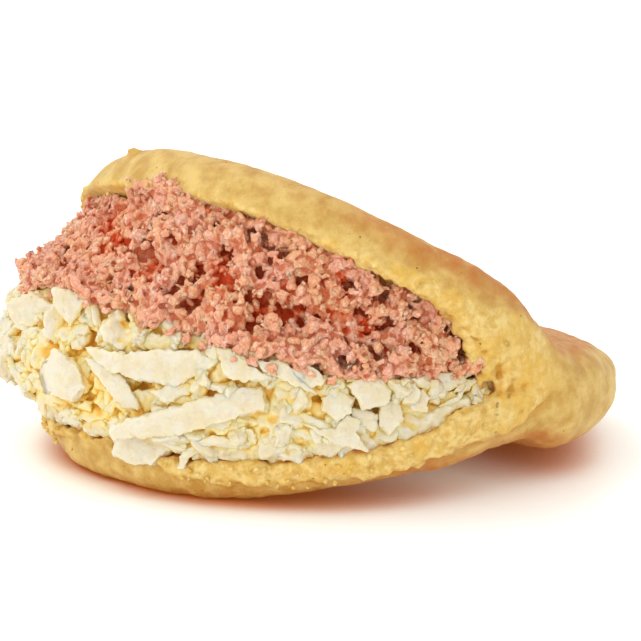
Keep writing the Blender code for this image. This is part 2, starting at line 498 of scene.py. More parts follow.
# %% Open spots
def open_spots(node, spacing, seed, reach=4 * MM, most=20000):
    draw = random.Random(seed)
    others = [tree for name, tree in trees.items() if name != node]
    shape = merged_copy(node)
    faces = [(face.calc_area(), face.normal.copy(), [vert.co.copy() for vert in face.verts])
             for face in shape.faces]
    shape.free()
    picks = draw.choices(faces, weights=[face[0] for face in faces], k=most)
    cells, kept = {}, []
    for _, normal, (a, b, c) in picks:
        s, t = math.sqrt(draw.random()), draw.random()
        spot = a * (1 - s) + b * s * (1 - t) + c * s * t
        key = tuple(int(value // spacing) for value in spot)
        near = [other for dx in (-1, 0, 1) for dy in (-1, 0, 1) for dz in (-1, 0, 1)
                for other in cells.get((key[0] + dx, key[1] + dy, key[2] + dz), ())]
        if any((spot - other).length < spacing for other in near):
            continue
        if any(tree.ray_cast(spot, normal, reach)[0] for tree in others):
            continue
        cells.setdefault(key, []).append(spot)
        kept.append((spot, normal))
    return kept


# %% [markdown]
# ## The dough, shaped
# The cake is one skin of dough, smooth outside, and crumbly where the knife and the fingers tore it.
# Sculpting that by hand is slow, and noise alone never overhangs. So the CAD copy is subdivided, lumps
# are pressed into it along the cut edges and heaped at the two torn corners, and a fine voxel remesh
# makes one dough of it all.

# %% Dough with torn lumps
DOUGH_VOXEL = 0.5 * MM
CORNER_LUMPS = (  # angle in degrees; height, size and how far out in millimetres
    (261, 31.5, 3.4, -1.2), (262, 27.0, 2.4, -0.6), (265, 24.3, 1.8, -0.4), (257, 35.5, 2.6, -1.4),
    (255, 38.0, 1.8, -0.8), (259, 33.8, 2.2, -0.6), (268, 25.6, 1.9, -0.9), (272, 25.2, 1.7, -0.9),
    (266.5, 28.2, 2.0, -0.9), (266, 22.0, 2.0, -0.8), (270, 21.6, 2.0, -1.3), (263, 21.0, 1.6, -0.8))
SLIT_END_LUMPS = (  # place and size in millimetres, the same at both ends of the slit
    (3.2, -55.0, 22.0, 2.4), (6.0, -55.4, 21.2, 2.2), (0.6, -54.6, 22.6, 2.0), (4.6, -52.6, 21.0, 2.6),
    (8.6, -55.6, 20.2, 1.8), (0.4, -54.2, 21.8, 2.4), (2.2, -52.6, 21.4, 2.6), (1.8, -50.4, 21.0, 2.6),
    (-6.0, -54.0, 29.6, 2.1), (-4.3, -54.3, 27.3, 2.1), (-2.6, -54.8, 25.0, 2.1), (-2.6, -53.4, 23.4, 1.9),
    (-8.0, -52.4, 32.6, 2.0), (-9.8, -50.2, 34.8, 1.9))
TAG_PLACE, TAG_REACH, TAG_SIZE = Vector((-35.5, 11.3, 59.6)) * MM, 1.15, 0.62

draw = random.Random(11)
dough = merged_copy("corn_cake")
bmesh.ops.subdivide_edges(dough, edges=dough.edges[:], cuts=1, use_grid_fill=True, smooth=0.6)
crumb_kinds = [lump(seed, detail=2, flats=3, unevenness=0.3) for seed in range(8)]


def press_on(angle, height, size, out):
    """Presses a lump on the dough's wall at an angle and a height."""
    point, normal = first_met(angle, height)[1:]
    if point is not None:
        matrix = tossed(draw, point + normal * out, Vector((size,) * 3))
        drop_in(dough, draw.choice(crumb_kinds), matrix)


for _ in range(260):
    angle = draw.uniform(92, 268)
    below = draw.uniform(0.2, 1.0) * (1.2 if 172 < angle < 194 else 4.5) * MM
    size = draw.uniform(0.8, 1.7) * MM
    press_on(angle, float(seam("cheese", angle)) - below, size, -0.5 * size)
for _ in range(110):
    angle = draw.uniform(96, 262)
    size = draw.uniform(0.6, 1.2) * MM
    press_on(angle, float(seam("top", angle)) + draw.uniform(0.2, 1.6) * MM, size, -0.5 * size)
for _ in range(70):
    near = draw.random() < 0.5
    angle = draw.uniform(264, 279) if near else draw.uniform(82, 96)
    size = draw.uniform(1.0, 2.4) * MM
    press_on(angle, draw.uniform(23, 33) * MM, size, -0.55 * size)
for angle, height, size, out in CORNER_LUMPS:
    press_on(angle, height * MM, size * MM, out * MM)
for x, y, z, size in SLIT_END_LUMPS:
    for side in (1, -1):
        drop_in(dough, draw.choice(crumb_kinds), tossed(
            draw, Vector((x, y * side, z)) * MM, Vector((size, size, size)) * MM))
for step in range(11):  # a torn tag that stands up on the upper flap's rim
    around = math.radians(step * 27)
    place = (TAG_PLACE + right * TAG_REACH * MM * math.cos(around)
             + up * TAG_REACH * MM * math.sin(around))
    drop_in(dough, crumb_kinds[step % 8], tossed(draw, place, Vector((TAG_SIZE,) * 3) * MM))
cake = new_object("griddled_cake", dough)
fuse(cake, DOUGH_VOXEL)
print("dough:", len(cake.data.vertices), "points")

# %% [markdown]
# ## The dough, measured
# Skin and torn crumb need different relief and colour, so every point learns where it lies. Torn dough
# reaches a few millimetres down from the cheese and up from the ham. Two short curves give that reach
# round the cake, and noise frays it. Voronoi cells, whose value is the distance from the nearest seed,
# will serve as crumbs, at two sizes.

# %% Dough, measured
mesh = cake.data
points = points_of(mesh)
points = 0.5 * points + 0.5 * eased(mesh, points, 4)
move_to(mesh, points)
outward = normals_of(mesh)
angle, height = angles_of(points), points[:, 2]
wobble = rough(points, 3.5 * MM, 3)
lower_reach = np.interp(angle, (80, 86, 92, 105, 130, 158, 172, 192, 200, 225, 250, 262, 268, 274, 281),
                        (0, 5, 8, 6, 5, 4, 0.8, 0.8, 4, 5.2, 6.0, 7.5, 8, 5, 0)) * MM
upper_reach = np.interp(angle, (78, 86, 92, 104, 118, 180, 225, 242, 252, 262, 270, 276, 284),
                        (0, 5, 8, 6.5, 2.4, 1.4, 2.2, 3.0, 5, 7.5, 7, 4, 0)) * MM
lower_edge = lower_reach + 1.3 * MM * wobble - (seam("cheese", angle) - height)
upper_edge = upper_reach + 1.8 * MM * wobble - (height - seam("top", angle))
on_mouth = soft_step(angle, 76, 84) * soft_step(360 - angle, 76, 84)
on_mouth *= soft_step(radii_of(points), 34 * MM, 42 * MM)
torn = soft_step(lower_edge, -0.7 * MM, 0.7 * MM) * soft_step(upper_edge, -1.5 * MM, 1.2 * MM) * on_mouth
at_corner = soft_step(np.abs(angle - 180), 80, 92)
crumb, fine_crumb = (np.array([noise.voronoi(Vector(point) / size)[0][0] for point in points])
                     for size in (2.1 * MM, 0.95 * MM))
print("torn share:", round(float(torn.mean()), 3))

# %% [markdown]
# ## The dough, relieved
# A skin that was patted smooth by hand still has broad dents. Torn crumb has pits and grains, and the
# skin just under the cheese hangs back a little, because the tear left a ledge. All of it is a push
# along the normal, in millimetres, which a Displace modifier could also do, but not by measured shares.
# The uncut end is fuller than the CAD solid, and its lower rim is rounder.

# %% Dough, relieved
relief = (0.34 * rough(points, 9 * MM, 2) + 0.12 * rough(points, 2.4 * MM, 3)) * (1 - 0.5 * torn)
torn_relief = (0.4 + 0.9 * (0.35 - crumb) + 0.45 * (0.3 - fine_crumb) + 0.5 * rough(points, 5 * MM, 2, 3.7))
relief += torn * (1 - 0.75 * at_corner) * torn_relief
relief -= 0.8 * (soft_step(-lower_edge, -0.3 * MM, 1.0 * MM) * soft_step(lower_edge, -7 * MM, -1.5 * MM)
                 * on_mouth)
end_top = soft_step(points[:, 0], 26 * MM, 40 * MM) * soft_step(outward[:, 2], 0.1, 0.6)
end_side = soft_step(points[:, 0], 9 * MM, 18 * MM) * soft_step(points[:, 0], 46 * MM, 24 * MM)
relief += 1.2 * end_top + 2.2 * end_side * (1 - end_top) * (1 - torn)
points = points + outward * relief[:, None] * MM
rim = soft_step(radii_of(points), 40 * MM, 54 * MM)
faces_down = soft_step(-outward[:, 2], -0.4, 0.5)
points[:, 2] += 3.0 * MM * soft_step(points[:, 0], 16 * MM, 34 * MM) * faces_down * rim
points[:, 2] = np.maximum(points[:, 2], 0)
move_to(mesh, kept_in_box(points))
store(mesh, "torn", torn)

# %% [markdown]
# ## Browning
# The griddle browns what touches it: the two flat faces, most near their shoulders. The flaps are bent
# now, so each point is first laid flat again round the hinge, and its distance from the axis then tells
# whether it touched the griddle.

# %% Browning
HINGE = 18 * MM
FLAT_HEIGHT, FLAP_RISE = 16.4 * MM, 0.17  # between the flaps at the hinge, and its rise to the mouth
outward = normals_of(mesh)
points = points_of(mesh)
upper = height > FLAT_HEIGHT + (HINGE - points[:, 0]) * FLAP_RISE
stretch = np.where(upper, 0.774, 0.97)
flat_x = np.where(points[:, 0] < HINGE, HINGE - (HINGE - points[:, 0]) / stretch, points[:, 0])
flat_radius = np.hypot(flat_x - CAKE_AXIS.x, points[:, 1] - CAKE_AXIS.y)
patches = rough(points, 13 * MM, 3, 1.3)
faces_out = np.where(upper, outward[:, 2], -outward[:, 2])
touched = (soft_step(flat_radius + 1.4 * MM * wobble, 58.5 * MM, 53 * MM)
           * np.where(upper, soft_step(faces_out, 0.15, 0.6), soft_step(faces_out, 0.3, 0.75)))
pale_end = 0.75 * soft_step(points[:, 0], 18 * MM, 32 * MM) * soft_step(faces_out, 0.95, 0.8)
pale_rim = 0.8 * soft_step(flat_radius, 42 * MM, 48 * MM) * soft_step(np.abs(angle - 180), 72, 48)
patchy = np.clip(0.62 + 0.75 * patches + 0.45 * soft_step(flat_radius, 38 * MM, 50 * MM), 0.05, 1)
browned = touched * (1 - pale_end) * (1 - pale_rim) * patchy
store(mesh, "browned", browned * (1 - torn))
print("browned mean:", round(float(browned.mean()), 3))

# %% [markdown]
# ## Fewer triangles where nothing shows
# A fine skin everywhere would be far too heavy. The dough behind the fillings is never seen, so it is
# thinned first, then the smooth skin a little, and the torn crumb not at all. How far a point lies under
# its surroundings is measured last, for the finish.

# %% Dough, thinned out
hidden = np.array([min(trees[name].find_nearest(Vector(point))[3]
                       for name in ("cheese_filling", "ham_filling")) < 1.6 * MM for point in points])
hidden &= radii_of(points) < 49 * MM
thin_out(cake, np.where(hidden, 1.0, np.where(torn > 0.05, 0.0, 0.3)), 192000)
mesh = cake.data
# The hollow measure drives painted shade: the dough's finish darkens its hollows.
store(mesh, "hollow", np.clip(hollows(mesh, points_of(mesh), 14) * 1.6, -1, 1))
print("hidden share:", round(float(hidden.mean()), 3))

# %% [markdown]
# ## The ham
# Minced ham clings together in clumps of a few millimetres, and each clump is a bunch of grains about
# a millimetre across. Particles could strew grains, but they don't cling. So a heart, smaller than the
# CAD solid, gets lumps under its skin, and clumps will be laid over it. A few broad swells and hollows
# give the heap its own shape.

# %% Ham heart
draw = random.Random(23)
HAM_SWELLS = (  # angle, height, half width in degrees, half height, how far out, in millimetres
    (170, 47, 9, 7, -2.4), (185, 33, 12, 5, 1.2), (214, 29, 16, 3, 1.6), (232, 27, 12, 3, 1.8),
    (226, 37, 8, 2.2, -2.8), (208, 43, 4, 3, -2.6), (242, 34, 7, 2.2, -2.4), (200, 50, 6, 3, 1.0),
    (246, 33, 4, 4, 1.0), (216, 50, 6, 3, 1.0), (130, 40, 8, 5, -2.2), (150, 36, 10, 4, 1.2),
    (190, 43, 4, 3, -2.6), (198, 36, 5, 3, 1.0), (214, 35, 6, 2, -2.2), (120, 33, 7, 3, 1.4))


def swelling(point, places):
    """How far the heap stands out or in at a point, in metres."""
    angle = math.degrees(math.atan2(point.y - CAKE_AXIS.y, point.x - CAKE_AXIS.x)) % 360
    total = 0.0
    for at, height, wide, tall, out in places:
        away = ((angle - at) / wide) ** 2 + ((point.z / MM - height) / tall) ** 2
        total += out * math.exp(-away)
    return total * MM


heart_kinds = [lump(200 + seed, detail=2, flats=2, unevenness=0.5, squash=(1, 0.85, 0.75))
               for seed in range(8)]
heap = wall_moved_in("ham_filling", 5.6 * MM)
for spot, normal in open_spots("ham_filling", 3.2 * MM, 5):
    size = draw.uniform(1.6, 2.6) * MM
    drop_in(heap, draw.choice(heart_kinds), tossed(
        draw, spot - normal * (size + draw.uniform(2.8, 4.4) * MM), Vector((size,) * 3)))

# %% [markdown]
# ## Clumps of ham
# A clump is a small lump studded with grains. Its grains sit on a spiral that never lines up, nearer or
# farther by noise, so that a clump has its own small hollows. A remesh makes them cling, noise makes
# them gritty, and a Decimate modifier leaves a few hundred triangles. Fourteen big kinds and fourteen
# small ones are enough, because each is laid with another turn and scale.

# %% Kinds of ham clumps
CLUMP_VOXEL = 0.07
GOLDEN_TURN = 2.4
grain_kinds = [lump(100 + seed, detail=1, flats=2, unevenness=0.4, squash=(1, 0.85, 0.8))
               for seed in range(12)]


def clump(seed, grains, most):
    """A mesh of one clump about 2 units across, its open side up."""
    draw = random.Random(seed)
    shape = bmesh.new()
    drop_in(shape, heart_kinds[seed % len(heart_kinds)], Matrix.Scale(0.56, 4))
    for number in range(grains):
        height = 1 - 1.3 * (number + 0.5) / grains
        turn, side = GOLDEN_TURN * number + draw.uniform(-0.5, 0.5), math.sqrt(1 - height * height)
        place = Vector((side * math.cos(turn), side * math.sin(turn), height))
        reach = 0.66 + 0.34 * noise.noise(place * 1.4 + Vector((seed * 3.3, 0, 0)))
        reach += draw.uniform(-0.06, 0.07)
        size = draw.uniform(0.17, 0.28)
        drop_in(shape, draw.choice(grain_kinds), Matrix.LocRotScale(
            place * reach, any_turn(draw).to_quaternion(),
            size * Vector((draw.uniform(1, 1.5), draw.uniform(0.9, 1.1), draw.uniform(0.8, 1.1)))))
    thing = new_object("clump", shape)
    fuse(thing, CLUMP_VOXEL)
    points = points_of(thing.data)
    grit = 0.07 * rough(points, 0.36, 2, seed * 1.7) + 0.05 * rough(points, 0.15, 1, seed * 2.3)
    move_to(thing.data, points + normals_of(thing.data) * grit[:, None])
    thin = thing.modifiers.new("thin", "DECIMATE")
    thin.ratio = most / triangles(thing.data)
    apply_modifiers(thing)
    mesh = thing.data
    bpy.data.objects.remove(thing)
    return mesh


big_kinds = [clump(seed, 42, 760) for seed in range(14)]
small_kinds = [clump(40 + seed, 20, 380) for seed in range(14)]
print("a big clump has", triangles(big_kinds[0]), "triangles")

# %% [markdown]
# ## The heap of ham
# Clumps are laid all over the heart, standing out or lying back by noise, which leaves the deep gaps.
# Rows of clumps follow the seams, so that the ham's edge is closed but never straight. The last remesh
# makes one heap of it. Relief finer than a grain comes from two sizes of Voronoi cells, bent by noise.


# %% Ham heap
HAM_VOXEL = 0.31 * MM
HAM_GRAIN = 1.1 * MM


def lay_clumps(shape, kinds, spots, draw, sizes, outs, tilt):
    """Lays clumps on spots of the ham: sizes, and how far they stand out, in millimetres."""
    for spot, normal in spots:
        size = draw.uniform(*sizes) * MM
        out = (2.1 * MM * noise.noise(spot / (5.0 * MM)) + swelling(spot, HAM_SWELLS)
               + draw.uniform(*outs) * MM - 0.72 * size)
        drop_in(shape, draw.choice(kinds), standing(
            spot + normal * out, normal, draw.uniform(0, FULL_TURN),
            size * Vector((draw.uniform(0.9, 1.25), draw.uniform(0.85, 1.1), draw.uniform(0.85, 1.1))),
            draw.gauss(0, tilt)))


def angle_of(point):
    return math.degrees(math.atan2(point.y - CAKE_AXIS.y, point.x - CAKE_AXIS.x)) % 360


big_spots, small_spots = ([(spot, normal) for spot, normal in open_spots("ham_filling", spacing, seed)
                           if 97 < angle_of(spot) < 259]
                          for spacing, seed in ((3.15 * MM, 6), (2.6 * MM, 7)))
for step in range(44):
    angle = 98 + step * 3.6
    big_spots.append(first_met(angle, float(seam("ham", angle)) + draw.uniform(0.2, 1.4) * MM)[1:])
    small_spots.append(first_met(angle + 1.8, float(seam("ham", angle)) + draw.uniform(-0.9, 0.4) * MM)[1:])
    small_spots.append(first_met(angle, float(seam("top", angle)) + draw.uniform(-0.4, 0.7) * MM)[1:])
rim_spots = []
for step in range(36):
    angle = 172.5 + step * 0.75
    less = 1 - 0.85 * float(soft_step(angle, 188, 199))
    level = min(float(seam("top", angle)) + (0.4 + 1.4 * (step % 3)) * less * MM, 57.4 * MM)
    rim_spots.append(first_met(angle, level)[1:])
lay_clumps(heap, big_kinds, big_spots, draw, (2.5, 3.7), (-0.5, 0.2), 0.4)
lay_clumps(heap, small_kinds, rim_spots, draw, (1.7, 2.4), (0.9, 1.5), 0.4)
lay_clumps(heap, small_kinds, small_spots[::2], draw, (1.2, 2.0), (-0.9, 0.4), 0.5)
ham = new_object("ham_heap", heap)
fuse(ham, HAM_VOXEL)
mesh = ham.data
points = points_of(mesh)
print("ham:", len(points), "points")
bent = points + 0.5 * MM * rough(points, 1.4 * MM, 2, 5.1)[:, None]
cells = [noise.voronoi(Vector(point) / HAM_GRAIN) for point in bent]
domes = np.array([near[0] for near, _ in cells])
wide = [noise.voronoi(Vector(point) / (2.6 * MM))[0] for point in bent]
lumps = soft_step(np.array([near[1] - near[0] for near in wide]), 0.0, 0.4)
grit = 0.6 * (lumps - 0.75) + 0.42 * (0.45 - domes) + 0.12 * rough(points, 0.55 * MM, 2)
points = points + normals_of(mesh) * grit[:, None] * MM
move_to(mesh, points)
pits = hollows(mesh, points, 8)
# The pit measure drives painted shade in the ham's finish.
store(mesh, "pit", np.clip(pits * 2.5 + 0.5 * (1 - lumps), -1, 1))
print("pits:", np.percentile(pits, (5, 50, 95)).round(3))
store(mesh, "tone", [noise.cell(centres[0] * 5) for _, centres in cells])
inner = radii_of(points) < 40 * MM
thin_out(ham, np.where(inner | (points[:, 0] > 12 * MM), 1.0, 0.0), 196000)

# %% [markdown]
# ## Loose ham
# Some bits have come off and lie on the heap. Every second small spot gets one, smaller and farther
# out, in a mesh of their own. Single grains, the finest crumbs of the mincer, are strewn over what faces
# out of the mouth. They have twenty faces each, because there are more than a thousand.

# %% Loose ham bits
BITS_VOXEL = 0.28 * MM
shape = bmesh.new()
lay_clumps(shape, small_kinds, small_spots[1::2], draw, (1.0, 1.6), (-0.5, 0.3), 0.5)
bits = new_object("ham_bits", shape)
fuse(bits, BITS_VOXEL)
thin_out(bits, np.zeros(len(bits.data.vertices)), 90000)
bit_cells = [noise.voronoi(Vector(point) / HAM_GRAIN)[1][0] for point in points_of(bits.data)]
store(bits.data, "tone", [noise.cell(centre * 5) for centre in bit_cells])

# %% Loose ham grains
GRAINS, GRAIN_POINTS = 1200, 12
shape = bmesh.new()
points, normals = points_of(ham.data), normals_of(ham.data)
away = points - np.array(CAKE_AXIS)
facing = (normals[:, :2] * away[:, :2]).sum(1) / np.hypot(away[:, 0], away[:, 1])
in_mouth = (radii_of(points) > 40 * MM) & (points[:, 0] < 12 * MM)
places = np.nonzero(in_mouth & (facing > 0.2))[0].tolist()
for index in draw.sample(places, GRAINS):
    size = draw.uniform(0.24, 0.55) * MM
    drop_in(shape, draw.choice(grain_kinds), Matrix.LocRotScale(
        Vector(points[index]) + Vector(normals[index]) * size * draw.uniform(-0.2, 0.4),
        any_turn(draw).to_quaternion(),
        size * Vector((draw.uniform(0.9, 1.6), draw.uniform(0.8, 1), draw.uniform(0.7, 1)))))
grains = new_object("ham_grains", shape)
store(grains.data, "tone", np.repeat(np.random.default_rng(3).random(GRAINS), GRAIN_POINTS))

# %% [markdown]
# ## The cheese
# White cheese, torn and grated by hand, makes flat flakes, short bars and blocky chunks with ragged
# edges. A box with noise on it looks like dough, not like torn cheese. So all three start as a torn
# polygon with a thickness. A voxel remesh gives it even, rounded edges, and noise along the flake's own
# plane frays its outline but leaves its faces smooth.

# %% Kinds of cheese bits
def flake(corners, thick, seed, fray=0.35, cup=0.0, voxel=0.45):
    """A mesh of one flake: its corners in millimetres, seen from outside, and its thickness."""
    shape = bmesh.new()
    ring = bmesh.ops.create_circle(shape, cap_ends=True, segments=len(corners), radius=1)["verts"]
    for vert, (x, y) in zip(ring, corners):
        vert.co = Vector((x, y, -thick / 2)) * MM
    raised = bmesh.ops.extrude_face_region(shape, geom=shape.faces[:])["geom"]
    for vert in raised:
        if isinstance(vert, bmesh.types.BMVert):
            vert.co.z += thick * MM
    bmesh.ops.recalc_face_normals(shape, faces=shape.faces[:])
    bmesh.ops.triangulate(shape, faces=shape.faces[:])
    thing = new_object("flake", shape)
    fuse(thing, voxel * MM)
    mesh = thing.data
    moved = []
    for x, y, z in points_of(mesh):
        place = Vector((x, y, z * 1.5)) / MM + Vector((seed * 5.3, 0, 0))
        push = noise.noise_vector(place / 2.2) + 0.95 * noise.noise_vector(place / 0.95)
        bend = cup * (x * x / 60 + y * y / 12) / MM
        moved.append((x + fray * push.x * MM, y + fray * push.y * MM, z + 0.42 * fray * push.z * MM - bend))
    move_to(mesh, np.array(moved))
    bpy.data.objects.remove(thing)
    return mesh


def torn_outline(draw, long, wide, corners):
    """Corners of a torn polygon, in millimetres."""
    turns = [(step + draw.uniform(-0.36, 0.36)) / corners * FULL_TURN for step in range(corners)]
    return [(long / 2 * math.cos(turn) * draw.uniform(0.7, 1.15),
             wide / 2 * math.sin(turn) * draw.uniform(0.7, 1.15)) for turn in turns]


draw = random.Random(29)
noise.seed_set(29)  # without a seed, noise vectors start from the clock
chunk_kinds = [flake(torn_outline(draw, draw.uniform(4.6, 7.2), draw.uniform(3.6, 5.2), 5 + seed % 3),
                     draw.uniform(1.8, 3.2), seed, fray=0.85, voxel=0.46) for seed in range(26)]
flake_kinds = [flake(torn_outline(draw, draw.uniform(6, 11), draw.uniform(3.4, 5.4), 5 + seed % 4),
                     draw.uniform(0.9, 1.5), 50 + seed, fray=0.6, cup=draw.uniform(-0.3, 0.6))
               for seed in range(28)]
bar_kinds = [flake(torn_outline(draw, draw.uniform(7, 12), draw.uniform(1.8, 2.6), 6),
                   draw.uniform(1.1, 1.7), 90 + seed, fray=0.45, cup=draw.uniform(0, 0.8))
             for seed in range(10)]
crumb_bits = [lump(600 + seed, detail=2, flats=4, unevenness=0.35) for seed in range(8)]
print("a cheese chunk has", triangles(chunk_kinds[0]), "triangles, a flake", triangles(flake_kinds[0]))

# %% [markdown]
# ## The bed of cheese
# Pressed between the flaps, most of the cheese sticks together. So chunks are laid in two layers on a
# core that lies back from the CAD solid, with a close row along the lower seam, and a remesh fuses
# them. The creases between them stay, and each point learns how deep it lies in one, for its colour.


# %% Cheese bed
BED_VOXEL = 0.4 * MM
CHEESE_SWELLS = ((183, 20, 12, 7, -1.6), (176, 14, 10, 5, -1.4), (172, 24, 10, 6, -1.0))


def scatter(shape, kinds, spots, draw, sizes, sink, lie=0.5, slope=0.5):
    """Lays like shapes on spots of the cheese: scales, and depths in millimetres."""
    for spot, normal in spots:
        size = draw.uniform(*sizes)
        depth = draw.uniform(*sink) * MM - swelling(spot, CHEESE_SWELLS)
        out = (normal + Vector((0, 0, 0.25)) + 0.25 * noise.random_unit_vector()).normalized()
        drop_in(shape, draw.choice(kinds), standing(
            spot - normal * depth, out, draw.gauss(0, lie), Vector((size, size, draw.uniform(0.9, 1.15))),
            draw.gauss(0, slope)))


draw = random.Random(31)
noise.seed_set(31)
bed = wall_moved_in("cheese_filling", 4.8 * MM)
deep_spots = open_spots("cheese_filling", 3.4 * MM, 31)
scatter(bed, chunk_kinds, deep_spots, draw, (0.9, 1.25), (4.2, 5.4), 1.5, 1.0)
surface_spots = open_spots("cheese_filling", 3.3 * MM, 36)
for step in range(50):
    angle = 97 + step * 3.3
    surface_spots.append(first_met(angle, float(seam("cheese", angle)) + draw.uniform(0.2, 1.6) * MM)[1:])
scatter(bed, chunk_kinds, surface_spots, draw, (0.85, 1.25), (1.5, 3.2), 1.5, 0.6)
seam_spots = []
for step in range(71):
    angle = 98 + step * 2.3
    seam_spots.append(first_met(angle, float(seam("cheese", angle)) + draw.uniform(-0.2, 0.7) * MM)[1:])
scatter(bed, chunk_kinds, seam_spots, draw, (0.6, 0.95), (0.3, 1.6), 1.5, 0.6)
core = new_object("cheese_bed", bed)
fuse(core, BED_VOXEL)
mesh = core.data
points = points_of(mesh)
print("cheese bed:", len(points), "points")
points = points + normals_of(mesh) * (0.28 * rough(points, 1.3 * MM, 3))[:, None] * MM
move_to(mesh, points)
pits = hollows(mesh, points, 14)
store(mesh, "pit", np.clip(pits * 3, -1, 1))
print("cheese pits:", np.percentile(pits, (5, 50, 95)).round(3))
inner = radii_of(points) < 44 * MM
thin_out(core, np.where(inner | (points[:, 0] > 12 * MM), 1.0, 0.0), 190000)

# %% [markdown]
# ## Loose cheese
# On the bed lie the pieces that didn't stick: a few chunks, many flakes, some bars and crumbs. Each
# kind has its own mesh, its own spacing and its own way to lie.

# %% Loose cheese
loose = []
for name, kinds, spacing, seed, sizes, sink, lie, slope in (
        ("cheese_chunks", chunk_kinds, 7.5 * MM, 37, (0.8, 1.1), (0.6, 1.6), 1.5, 0.6),
        ("cheese_flakes", flake_kinds, 4.4 * MM, 33, (0.75, 1.15), (0.5, 1.7), 0.7, 0.4),
        ("cheese_bars", bar_kinds, 8.5 * MM, 34, (0.8, 1.1), (0.6, 1.4), 0.6, 0.25),
        ("cheese_crumbs", crumb_bits, 6.0 * MM, 35, (0.4 * MM, 0.9 * MM), (0.6, 1.4), 1.5, 1.5)):
    shape = bmesh.new()
    spots = open_spots("cheese_filling", spacing, seed)
    if kinds is crumb_bits:
        for spot, normal in spots:
            size = draw.uniform(*sizes)
            drop_in(shape, draw.choice(kinds), tossed(
                draw, spot - normal * draw.uniform(*sink) * MM, Vector((size,) * 3)))
    else:
        scatter(shape, kinds, spots, random.Random(seed), sizes, sink, lie, slope)
    loose.append(new_object(name, shape))
    print(name, len(spots), "of them")


# %% [markdown]
# ## The long shreds in front
# A few long shreds and big flakes catch the eye, and chance would never lay them like this. So each is
# drawn by a few corners, in millimetres, and laid on the cheese at an angle round the cake and a share
# of the cheese band's height. It is made by the same function as the loose flakes, only finer.

# %% Long shreds
LONG_SHREDS = (  # angle, share of the height, facing, how far out, thickness, corners (and cup, tip)
    (198, 0.72, 208, 0.8, 1.3,
     ((-14, 2), (-5, 1.5), (2, 3), (9, 3), (14, 2), (5.5, -3.5), (-3.5, -3), (-11, -1)), 0.5, 0.1),
    (206, 0.37, 212, 0.6, 2.2,
     ((-15.5, -3), (-9, -0.5), (-3, 1.5), (6.5, 5), (13.5, 7), (15, 3), (6.5, -0.5),
      (-2.5, -3.5), (-14.5, -5))),
    (175, 0.97, 202, 0.4, 1.1, ((-4.5, 2), (1, 2), (8.5, 5), (4.5, 1.5), (0.5, -4.5), (-3, -2))),
    (190, 0.5, 208, 0.2, 1.4, ((-6, 4.5), (-0.5, 3.5), (3, 1), (6, -4), (2.5, -4), (-3.5, 1.5))),
    (196, 0.02, 210, 0.6, 2.2,
     ((-6.5, 1.5), (3.5, 4), (7, 2), (4.5, 0), (0.5, -3), (-4, -3.5), (-7.5, -2))),
    (177, 0.45, 200, 0.0, 2.4, ((-6.5, 0), (-1, 5), (4, 3), (7, -1), (4, -4), (-4.5, -3.5))),
    (163, 0.85, 198, -1.2, 3.2, ((-6.5, 1), (-0.5, 4), (4.5, 2), (5.5, -1), (1, -5), (-3.5, -3))),
    (217, 0.92, 217, 0.5, 1.2, ((-5.5, 3.5), (-2.5, 3), (1, 0.5), (5.5, -2), (-0.5, -2.5), (-3.5, -2))),
    (225, 0.95, 225, 0.6, 1.1, ((-6, 2.5), (-1, 2.5), (3, 0), (5.5, -3.5), (-0.5, -1), (-5, 1))),
    (229, 0.97, 229, 0.9, 1.1, ((-3, 1), (0, 2.5), (3, 0), (2.5, -1.5), (0, -2))),
    (234, 0.62, 234, 0.3, 2.4, ((-2.5, 2), (0.5, 3), (3, 1.5), (2.5, -1.5), (0, -2.5), (-2.5, -0.5))),
    (240, 0.82, 240, 0.5, 2.2, ((-4, 1.5), (-1, 3), (1.5, 5), (2.5, 3), (4, 0.5), (3.5, -2), (-1, -3))),
    (248, 0.8, 246, 0.2, 1.6, ((-2, 2), (0.5, 2), (1.5, 0), (0.5, -2), (-1.5, -2))),
    (239, 0.45, 239, 0.1, 2.2, ((-2.5, 2), (0.5, 1.5), (3, 0.5), (2, -2.5), (-1.5, -1.5))),
    (244, 0.45, 244, 0.2, 2.0, ((-1.5, 3), (2, 2), (2.5, -1), (0, -3.5), (-2, -2))),
    (234, 0.28, 234, 0.6, 1.2,
     ((-6.5, 2), (-0.5, 0.5), (1.5, 3.5), (4, 2.5), (3.5, 0), (6, -3.5), (0, -2))),
    (249, 0.62, 249, 0.0, 1.8, ((-2.5, 1.5), (1.5, 2), (2.5, 1), (2, -2), (-0.5, -1.5))),
    (207, 0.03, 214, 0.7, 1.3,
     ((-4, -3), (-3, 0), (0, 1.8), (4, 1.6), (4, 0.3), (0.4, 0.4), (-2, -1.2), (-2.6, -3))),
    (257, 0.5, 250, 0.0, 0.8, ((-3, -1.6), (-1, -0.4), (3.5, 2.2), (1, -0.8), (-2, -2))))
SHRED_RISE = 0.2


def wall_spot(angle, share):
    """A spot on the cheese band: share 0 is its lower seam and share 1 its upper one."""
    level = float(seam("cheese", angle) * (1 - share) + seam("ham", angle) * share)
    return first_met(angle, level)[1:]


def lay(shape, seed, angle, share, facing, out, thick, corners, cup=0.3, tip=0.0):
    """Lays one drawn flake, its face turned to an angle round the cake and up a little."""
    spot = wall_spot(angle, share)[0]
    turned = math.radians(facing)
    outward = Vector((math.cos(turned), math.sin(turned), SHRED_RISE)).normalized()
    mesh = flake(corners, thick, seed, fray=0.45, cup=cup, voxel=0.3)
    drop_in(shape, mesh, standing(spot + outward * out * MM, outward, 0.0, (1, 1, 1), tip))


shape = bmesh.new()
for seed, row in enumerate(LONG_SHREDS, 1):
    lay(shape, seed, *row)
shreds = new_object("cheese_long_shreds", shape)
print("long shreds:", len(shreds.data.polygons), "faces")

# %% [markdown]
# ## Loose dough crumbs
# The knife and the fingers leave crumbs on the cut edges. They are small lumps, sunk a little in.

